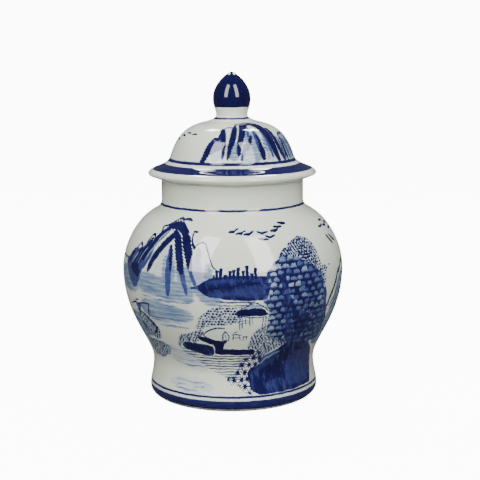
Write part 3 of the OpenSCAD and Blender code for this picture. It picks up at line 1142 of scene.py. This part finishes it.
@dataclass
class JarBody:
    """The hollow body: foot ring, waist, belly, shoulder and neck, painted all round."""

    height: float
    belly_r: float
    belly_z: float = 120.0
    waist_r: float = 76.0
    waist_z: float = 34.0
    neck_r: float = 66.1
    neck_h: float = 24.4
    neck_blend: float = 5.6
    shoulder_angle: float = 27.0
    wall: float = 6.0
    rim_round: float = 1.6
    foot_r: float = 79.3
    foot_edge_h: float = 7.8
    foot_edge_w: float = 6.2
    foot_ring_w: float = 8.0
    foot_recess: float = 8.0
    floor_t: float = 8.0
    floor_round: float = 16.0
    neck_line_z: float = 181.2
    foot_line_z: float = 14.6
    foot_band_z: float = 7.2

    def side(self) -> list[Point]:
        """The outside from the waist up to the start of the neck."""
        neck_z = self.height - self.neck_h
        fall = self.neck_blend * math.tan(math.radians(self.shoulder_angle))
        end = (self.neck_r + self.neck_blend, neck_z - fall)
        rise, drop = self.belly_z - self.waist_z, neck_z - self.belly_z
        reach = 0.59 * (self.belly_r - self.neck_r)
        angle = math.radians(self.shoulder_angle)
        lower = Lathe.curve((self.waist_r, self.waist_z), (self.waist_r, self.waist_z + 0.22 * rise),
                            (self.belly_r, self.belly_z - 0.53 * rise), (self.belly_r, self.belly_z), 24)
        upper = Lathe.curve((self.belly_r, self.belly_z), (self.belly_r, self.belly_z + 0.35 * drop),
                            (end[0] + reach * math.cos(angle), end[1] - reach * math.sin(angle)), end, 24)
        blend = Lathe.curve(end, (end[0] - 0.6 * self.neck_blend, end[1] + 0.6 * fall),
                            (self.neck_r, neck_z + 0.3 * self.neck_blend),
                            (self.neck_r, neck_z + self.neck_blend), 8)
        return lower + upper[1:] + blend[1:]

    def outline(self) -> list[Point]:
        """The whole section, outside and inside."""
        ring_out = self.foot_r - self.foot_edge_w
        ring_in = ring_out - self.foot_ring_w
        floor_z = self.foot_recess + self.floor_t
        rise = self.waist_z - self.foot_edge_h
        foot = Lathe.curve((ring_out, 0), (ring_out + 0.08 * self.foot_edge_w, 0),
                           (self.foot_r, 0.36 * self.foot_edge_h), (self.foot_r, self.foot_edge_h), 8)
        foot += Lathe.curve((self.foot_r, self.foot_edge_h), (self.foot_r, self.foot_edge_h + 0.34 * rise),
                            (self.waist_r, self.waist_z - 0.47 * rise), (self.waist_r, self.waist_z), 14)[1:]
        bore, top = self.neck_r - self.wall, self.height - self.rim_round
        rim = Lathe.arc((self.neck_r - self.rim_round, top), self.rim_round, 0, 90, 5)
        rim += Lathe.arc((bore + self.rim_round, top), self.rim_round, 90, 180, 5)
        inner_r = self.waist_r - self.wall
        floor = Lathe.curve((inner_r, self.waist_z - 1), (inner_r, floor_z + 4),
                            (inner_r - self.floor_round / 3, floor_z), (inner_r - self.floor_round, floor_z), 8)
        inside = list(reversed(Lathe.beside(self.side(), self.wall)))
        base = [(0, self.foot_recess), (ring_in - 4, self.foot_recess), (ring_in, 0)]
        return base + foot + self.side()[1:] + rim + inside + floor + [(0, floor_z)]

    def skin(self) -> list[Point]:
        """The middle of the wall, as (height, radius), which parts the outside from the inside."""
        middle = Lathe.beside(self.side(), self.wall / 2)[::3]
        return [(0.0, self.foot_r - 9.0), (self.foot_edge_h, self.foot_r - 3.0), *((z, r) for r, z in middle),
                (self.height, self.neck_r - self.wall / 2)]

    def dress(self) -> Any:
        """Builds the painted and glazed porcelain.

        Returns:
            The material.
        """
        graph, material = Graph.finish("painted_porcelain_body")
        place = Place.read(graph)
        outside = graph.ramped(place.radius - graph.along(place.height, self.skin()), -0.5, 0.5)
        scale = place.radius * (math.pi / 180.0)
        front = Canvas(graph, place.front, place.height, scale, place.grain)
        back = Canvas(graph, place.back, place.height, scale, place.grain)
        ink, lilac = Landscape(graph, ((front, FRONT), (back, BACK))).density(place.where)
        ink = ink | self.rings(graph, place)
        low = graph.node("SeparateXYZ", {}, {0: place.where})
        level = graph.out(low, 2)
        bare = graph.ramped(level, self.height - 0.9, self.height - 0.4) | graph.ramped(level, 0.7, 0.3)
        colour = GLAZE.colour(graph, ink * outside, lilac * outside, bare, place.tone)
        GLAZE.coat(graph, colour, bare, place.where)
        return material

    def rings(self, graph: Graph, place: Place) -> Val:
        """The turned bands: one round the neck, one above the foot and a thick one on the foot."""
        calm = place.height * 0.45 + graph.out(graph.node("SeparateXYZ", {}, {0: place.where}), 2) * 0.55
        edge = place.grain * 0.5
        neck = (0.95 - abs(calm - self.neck_line_z) + edge).edge(0.3) * (0.78 + place.tone * 0.2)
        thin = (0.9 - abs(calm - self.foot_line_z) + edge).edge(0.3) * (0.78 + place.tone * 0.2)
        streak = graph.noise(graph.vector(place.front / 9.0, calm / 1.1), 1.0, 2.0)
        band = (3.9 - abs(calm - self.foot_band_z) + edge).edge(0.35) * (0.72 + streak * 0.26)
        return neck | thin | band

    def build(self) -> Any:
        """Turns and dresses the body.

        Returns:
            The piece, which rides on the CAD body "jar".
        """
        piece = Lathe.turn("jar_body_glazed", self.outline())
        piece.data.materials.append(self.dress())
        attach(piece, "jar")
        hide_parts("jar_body")
        return piece


@dataclass
class Lid:
    """The loose lid: crown, dome, brim, seat and locating flange."""

    seat_z: float
    crown_z: float
    neck_r: float = 66.1
    knob_foot_r: float = 24.0
    dome_inset: float = 8.6
    dome_z: float = 21.1
    brim_overhang: float = 12.1
    brim_z: float = 5.8
    brim_round: float = 2.0
    seat_overhang: float = 0.4
    flange_r: float = 59.1
    flange_t: float = 5.0
    flange_depth: float = 13.0
    wall: float = 5.5
    vent_r: float = 2.5
    dome_line_r: float = 59.0
    brim_band_r: float = 68.4

    def top(self) -> tuple[list[Point], list[Point]]:
        """The outside of the dome and the upper side of the brim."""
        crown = (self.knob_foot_r, self.crown_z)
        foot = (self.neck_r - self.dome_inset, self.seat_z + self.dome_z)
        out, fall = foot[0] - crown[0], crown[1] - foot[1]
        dome = Lathe.curve(crown, (crown[0] + 0.64 * out, crown[1] - 0.13 * fall),
                           (foot[0] - 0.16 * out, foot[1] + 0.51 * fall), foot, 26)
        edge = (self.neck_r + self.brim_overhang, self.seat_z + self.brim_z)
        out, fall = edge[0] - foot[0], foot[1] - edge[1]
        brim = Lathe.curve(foot, (foot[0] + 0.14 * out, foot[1] - 0.65 * fall),
                           (edge[0] - 0.09 * out, edge[1] + 0.41 * fall), edge, 18)
        return dome, brim

    def outline(self) -> list[Point]:
        """The whole section, outside and inside."""
        dome, brim = self.top()
        edge, low = brim[-1], self.seat_z - self.flange_depth + 1
        inner = self.flange_r - self.flange_t
        under = Lathe.arc((edge[0] - self.brim_round, edge[1]), self.brim_round, 0, -60, 6)
        flange = [(self.neck_r + self.seat_overhang, self.seat_z), (self.flange_r, self.seat_z)]
        flange += Lathe.arc((self.flange_r - 1, low), 1, 0, -90, 4) + Lathe.arc((inner + 1, low), 1, -90, -180, 4)
        hollow = [(inner, self.seat_z + self.dome_z / 3), *reversed(Lathe.beside(dome, -self.wall))]
        return ([(self.vent_r, self.crown_z)] + dome + brim[1:] + under[1:] + flange + hollow
                + [(self.vent_r, self.crown_z - self.wall)])

    def skin(self) -> list[Point]:
        """The middle of the dome's wall, as (angle from the axis, reach) seen from the eye of the dome."""
        middle = Lathe.beside(self.top()[0], -self.wall / 2)
        rows = [(math.degrees(math.atan2(r, z - self.eye)), math.hypot(r, z - self.eye)) for r, z in middle[::3]]
        return [(0.0, self.crown_z - self.eye - self.wall / 2), *rows, (86.0, 66.0)]

    @property
    def eye(self) -> float:
        """Height of the point on the axis from which the painting spreads."""
        return self.seat_z + 1.6

    def dress(self) -> Any:
        """Builds the painted and glazed porcelain.

        Returns:
            The material.
        """
        graph, material = Graph.finish("painted_porcelain_lid")
        place = Place.read(graph, sway=0.7)
        level = graph.out(graph.node("SeparateXYZ", {}, {0: place.where}), 2)
        rise = place.height - self.eye
        angle = graph.math("ARCTAN2", place.radius, rise) * (180.0 / math.pi)
        reach = graph.math("SQRT", place.radius * place.radius + rise * rise)
        outside = graph.ramped(reach - graph.along(angle, self.skin()), -0.5, 0.5)
        down = angle * 1.063 - 26.8
        scale = (down + 24.0) * (math.pi / 180.0)
        front = Canvas(graph, place.front, down, scale, place.grain, 0.95)
        back = Canvas(graph, place.back, down, scale, place.grain, 0.95)
        behind = (moved(LID_RANGE, -35.0, flip=True),)
        ink, lilac = Landscape(graph, ((front, (LID_RANGE,)), (back, behind))).density(place.where)
        dome = graph.ramped(down, 52.0, 51.0)
        ink = ink * dome | self.rings(graph, place, level)
        bare = graph.ramped(level, self.seat_z + 0.6, self.seat_z + 0.2) & graph.ramped(place.radius, 67.0, 66.2)
        colour = GLAZE.colour(graph, ink * outside, lilac * outside * dome, bare, place.tone)
        GLAZE.coat(graph, colour, bare, place.where)
        return material

    def rings(self, graph: Graph, place: Place, level: Val) -> Val:
        """The turned bands: a thin one at the foot of the dome and a thick one on the brim."""
        reach = place.radius + (place.height - level) * 0.3
        upper = graph.ramped(level, self.seat_z + 6.6, self.seat_z + 7.4)
        edge = place.grain * 0.5
        thin = (0.85 - abs(reach - self.dome_line_r) + edge).edge(0.3) * (0.8 + place.tone * 0.2)
        streak = graph.noise(graph.vector(place.front / 7.0, reach / 1.2), 1.0, 2.0)
        band = (5.6 - abs(reach - self.brim_band_r) + edge).edge(0.35) * (0.76 + streak * 0.24)
        return (thin | band) * upper

    def build(self) -> Any:
        """Turns and dresses the lid.

        Returns:
            The piece, which rides on the CAD body "lid".
        """
        piece = Lathe.turn("lid_glazed", self.outline())
        piece.data.materials.append(self.dress())
        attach(piece, "lid")
        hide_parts("lid")
        return piece


@dataclass
class Knob:
    """The hollow bud on the crown: cobalt above, a white collar below."""

    foot_z: float
    tip_z: float
    bud_r: float = 17.5
    bud_z: float = 21.0
    collar_r: float = 14.5
    collar_z: float = 5.5
    foot_r: float = 24.0
    wall: float = 4.0
    glaze_line: float = 13.4
    ring_z: float = 3.2

    def outline(self) -> list[Point]:
        """The whole section, outside and inside."""
        tip, bud = (0.0, self.tip_z), (self.bud_r, self.foot_z + self.bud_z)
        collar = (self.collar_r, self.foot_z + self.collar_z)
        rise, fall = tip[1] - bud[1], bud[1] - collar[1]
        side = Lathe.curve(tip, (0.23 * bud[0], tip[1] - 0.7), (bud[0], bud[1] + 0.56 * rise), bud, 22)
        side += Lathe.curve(bud, (bud[0], bud[1] - 0.52 * fall), (collar[0], collar[1] + 0.33 * fall), collar, 14)[1:]
        foot = Lathe.curve(collar, (collar[0], collar[1] - 0.4 * self.collar_z),
                           (self.foot_r - 3, self.foot_z + 0.8), (self.foot_r, self.foot_z), 8)
        hollow = [p for p in reversed(Lathe.beside(side, -self.wall)) if p[0] > self.wall / 2]
        return side + foot[1:] + [(collar[0] - self.wall, self.foot_z)] + hollow + [(0.0, tip[1] - 1.25 * self.wall)]

    def dress(self) -> Any:
        """Builds the cobalt and white glaze.

        Returns:
            The material.
        """
        graph, material = Graph.finish("cobalt_glaze")
        place = Place.read(graph, sway=0.35)
        level = place.height - self.foot_z
        streak = graph.noise(graph.vector(place.front / 14.0, level / 1.6), 1.0, 2.0)
        bud = (level - self.glaze_line).edge(0.35) * (0.93 + streak * 0.08)
        ring = (0.75 - abs(level - self.ring_z) + place.grain * 0.4).edge(0.3) * 0.84
        colour = GLAZE.colour(graph, bud | ring, 0.0, 0.0, place.tone)
        spot = (0.75 - graph.math("SQRT", place.front * place.front * 0.06 + (level - 8.2) * (level - 8.2))).edge(0.4)
        speck = spot * graph.ramped(abs(place.front - 14.0), 8.0, 4.0)
        GLAZE.coat(graph, graph.blend(speck * 0.8, colour, (*GLAZE.iron, 1.0)), 0.0, place.where)
        return material

    def build(self) -> Any:
        """Turns and dresses the knob.

        Returns:
            The piece, which rides on the CAD body "lid".
        """
        piece = Lathe.turn("knob_glazed", self.outline())
        piece.data.materials.append(self.dress())
        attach(piece, "lid")
        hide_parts("knob")
        return piece


# ---------------------------------------------------------------- studio


@dataclass
class Studio:
    """Camera, pale sweep and soft lights."""

    camera_at: tuple[float, float, float] = (0.008, -1.1133, 0.3313)
    pitch: float = 9.53
    roll: float = 0.35
    lens: float = 90.0
    surround: float = 0.10
    front_power: float = 19.0
    fill_place: tuple[float, float, float] = (0.0, 2.4, 0.9)
    fill_size: Point = (1.6, 1.2)
    side_angle: float = 35.0
    side_reach: Point = (1.35, 1.25)
    side_size: Point = (0.58, 1.7)
    side_power: float = 30.0
    side_shine: float = 120.0
    top_angle: float = 152.0
    top_reach: Point = (0.83, 1.5)
    top_size: Point = (0.22, 0.36)
    top_power: float = 7.0
    top_shine: float = 5.0
    sweep_glow: float = 11.0

    def place_camera(self) -> None:
        """Sets up the camera at the viewing angle."""
        camera = bpy.data.cameras.new("camera")
        camera.lens, camera.sensor_width = self.lens, 36.0
        camera.clip_start, camera.clip_end = 0.01, 50.0
        item = bpy.data.objects.new("camera", camera)
        bpy.context.scene.collection.objects.link(item)
        item.location = self.camera_at
        item.rotation_euler = (math.radians(90.0 - self.pitch), math.radians(self.roll), 0.0)
        bpy.context.scene.camera = item

    def lay_sweep(self) -> None:
        """Lays a pale floor that curves up on all four sides."""
        bpy.ops.object.select_all(action="DESELECT")
        bpy.ops.mesh.primitive_plane_add(size=8.0, location=(0, 0, 0))
        sweep = bpy.context.active_object
        sweep.name = "floor"
        bpy.ops.object.mode_set(mode="EDIT")
        bpy.ops.mesh.select_mode(type="EDGE")
        bpy.ops.mesh.select_all(action="SELECT")
        bpy.ops.mesh.extrude_edges_move(TRANSFORM_OT_translate={"value": (0, 0, 5.0)})
        bpy.ops.mesh.select_all(action="DESELECT")
        bpy.ops.object.mode_set(mode="OBJECT")
        for edge in sweep.data.edges:
            ends = [sweep.data.vertices[v].co for v in edge.vertices]
            edge.select = all(end.z < 0.1 for end in ends)
        bpy.ops.object.mode_set(mode="EDIT")
        bpy.ops.mesh.bevel(offset=1.5, segments=12, affect="EDGES")
        bpy.ops.object.mode_set(mode="OBJECT")
        bpy.ops.object.shade_smooth_by_angle(angle=math.radians(60))
        graph, material = Graph.finish("pale_floor")
        shader = graph.node("BsdfPrincipled", {}, {
            "Base Color": (0.8, 0.8, 0.8, 1.0), "Roughness": 0.7,
            "Emission Color": (1.0, 1.0, 1.0, 1.0), "Emission Strength": self.sweep_glow,
        })
        graph.node("OutputMaterial", {}, {0: graph.out(shader)})
        sweep.data.materials.append(material)
        sweep.visible_diffuse = False
        sweep.visible_glossy = False

    def light(self, name: str, place: tuple[float, float, float], size: Point, power: float, aim: float) -> Any:
        """Hangs one soft rectangular light, turned to the jar.

        Args:
            name: its name.
            place: degrees round from the front, distance and height, in metres.
            size: its width and height in metres.
            power: its power in watts.
            aim: the height that it is turned to, in metres.

        Returns:
            The light.
        """
        lamp = bpy.data.lights.new(name, "AREA")
        lamp.shape, lamp.size, lamp.size_y, lamp.energy = "RECTANGLE", size[0], size[1], power
        item = bpy.data.objects.new(name, lamp)
        bpy.context.scene.collection.objects.link(item)
        turn = math.radians(place[0])
        item.location = (place[1] * math.sin(turn), -place[1] * math.cos(turn), place[2])
        tilt = math.atan2(place[2] - aim, place[1])
        item.rotation_euler = (math.pi / 2 - tilt, 0.0, turn)
        return item

    def light_up(self) -> None:
        """Hangs the lights and sets the pale surroundings."""
        world = bpy.data.worlds.new("surround")
        world.use_nodes = True
        world.node_tree.nodes["Background"].inputs[0].default_value = (1.0, 1.0, 1.0, 1.0)
        world.node_tree.nodes["Background"].inputs[1].default_value = self.surround
        bpy.context.scene.world = world
        for side, name in ((-1.0, "left"), (1.0, "right")):
            place = (self.side_angle * side, *self.side_reach)
            self.light(name + "_box", place, self.side_size, self.side_power, 0.6)
            self.light(name + "_shine", place, self.side_size, self.side_shine, 0.6).visible_diffuse = False
            place = (self.top_angle * side, *self.top_reach)
            self.light(name + "_top", place, self.top_size, self.top_power, 0.2)
            self.light(name + "_top_shine", place, self.top_size, self.top_shine, 0.2).visible_diffuse = False
        fill = self.light("front_fill", self.fill_place, self.fill_size, self.front_power, 0.12)
        fill.visible_glossy = False


def main() -> None:
    """Builds the jar, its lid and its knob in the studio."""
    studio = Studio()
    studio.place_camera()
    studio.lay_sweep()
    studio.light_up()
    body_box, lid_box, knob_box = (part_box(node) for node in ("jar_body", "lid", "knob"))
    sub_assemblies = (
        JarBody(height=body_box[1].z / MM, belly_r=body_box[1].x / MM),
        Lid(seat_z=lid_box[0].z / MM + Lid.flange_depth, crown_z=lid_box[1].z / MM),
        Knob(foot_z=knob_box[0].z / MM, tip_z=knob_box[1].z / MM),
    )
    for part in sub_assemblies:
        piece = part.build()
        LOG.info("%s: %d faces, %d nodes in its finish", piece.name, len(piece.data.polygons),
                 len(piece.data.materials[0].node_tree.nodes))


if __name__ == "__main__":
    logging.basicConfig(level=logging.INFO, format="%(relativeCreated)d %(name)s %(message)s")
    main()
